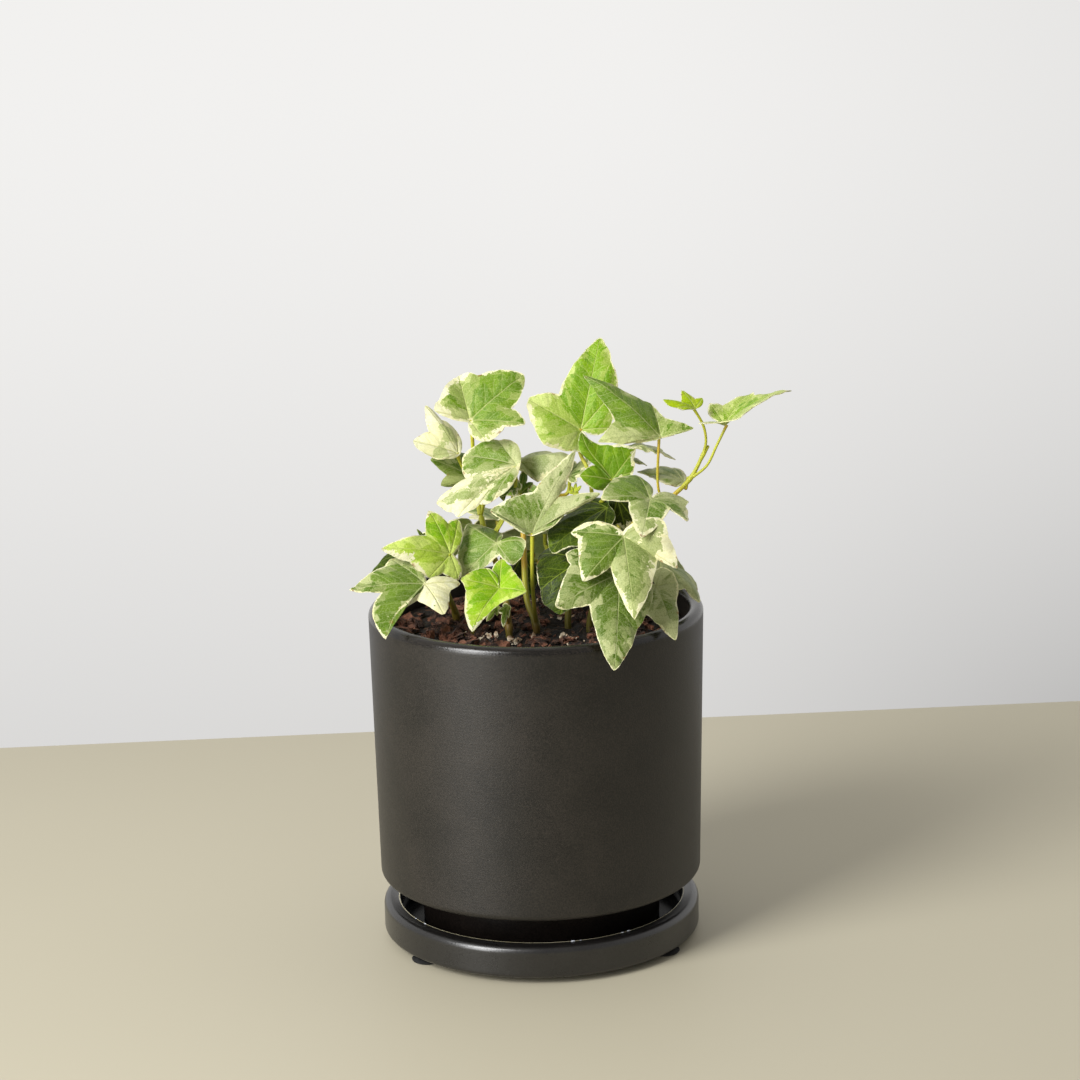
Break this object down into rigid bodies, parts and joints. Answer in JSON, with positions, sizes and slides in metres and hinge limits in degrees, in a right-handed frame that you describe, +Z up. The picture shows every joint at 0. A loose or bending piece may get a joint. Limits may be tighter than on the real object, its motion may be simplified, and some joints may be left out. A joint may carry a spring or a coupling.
{
  "type": "potted ivy",
  "caption": "Variegated English ivy with lobed leaves growing from soil in a straight dark ceramic pot on a footed round saucer.",
  "frame": {"origin": "on the pot's axis, at the flat underside of the saucer", "axes": "+Z up along the pot's axis, -Y towards the side that the main picture shows, +X to the right of that side"},
  "size_m": [0.1643, 0.1413, 0.2255],
  "materials": {
    "ceramic": "satin charcoal",
    "glaze": "glossy charcoal",
    "rubber": "matte",
    "soil": "loose, with bark chips and white grains",
    "leaf": "satin, green and cream"
  },
  "bodies": {
    "root": {"saucer": "glaze", "pot": "ceramic", "soil": "soil", "pad_front_left": "rubber", "pad_front_right": "rubber", "pad_back": "rubber", "leafy_stem_left": "leaf", "leafy_stem_mid_left": "leaf", "leafy_stem_low_front": "leaf", "leafy_stem_centre": "leaf", "leafy_stem_tall": "leaf", "leafy_stem_right": "leaf", "leafy_stem_sprig": "leaf", "leafy_stem_low_right": "leaf", "leafy_stem_back_left": "leaf", "leafy_stem_back": "leaf", "leafy_stem_back_right": "leaf"}
  },
  "joints": []
}
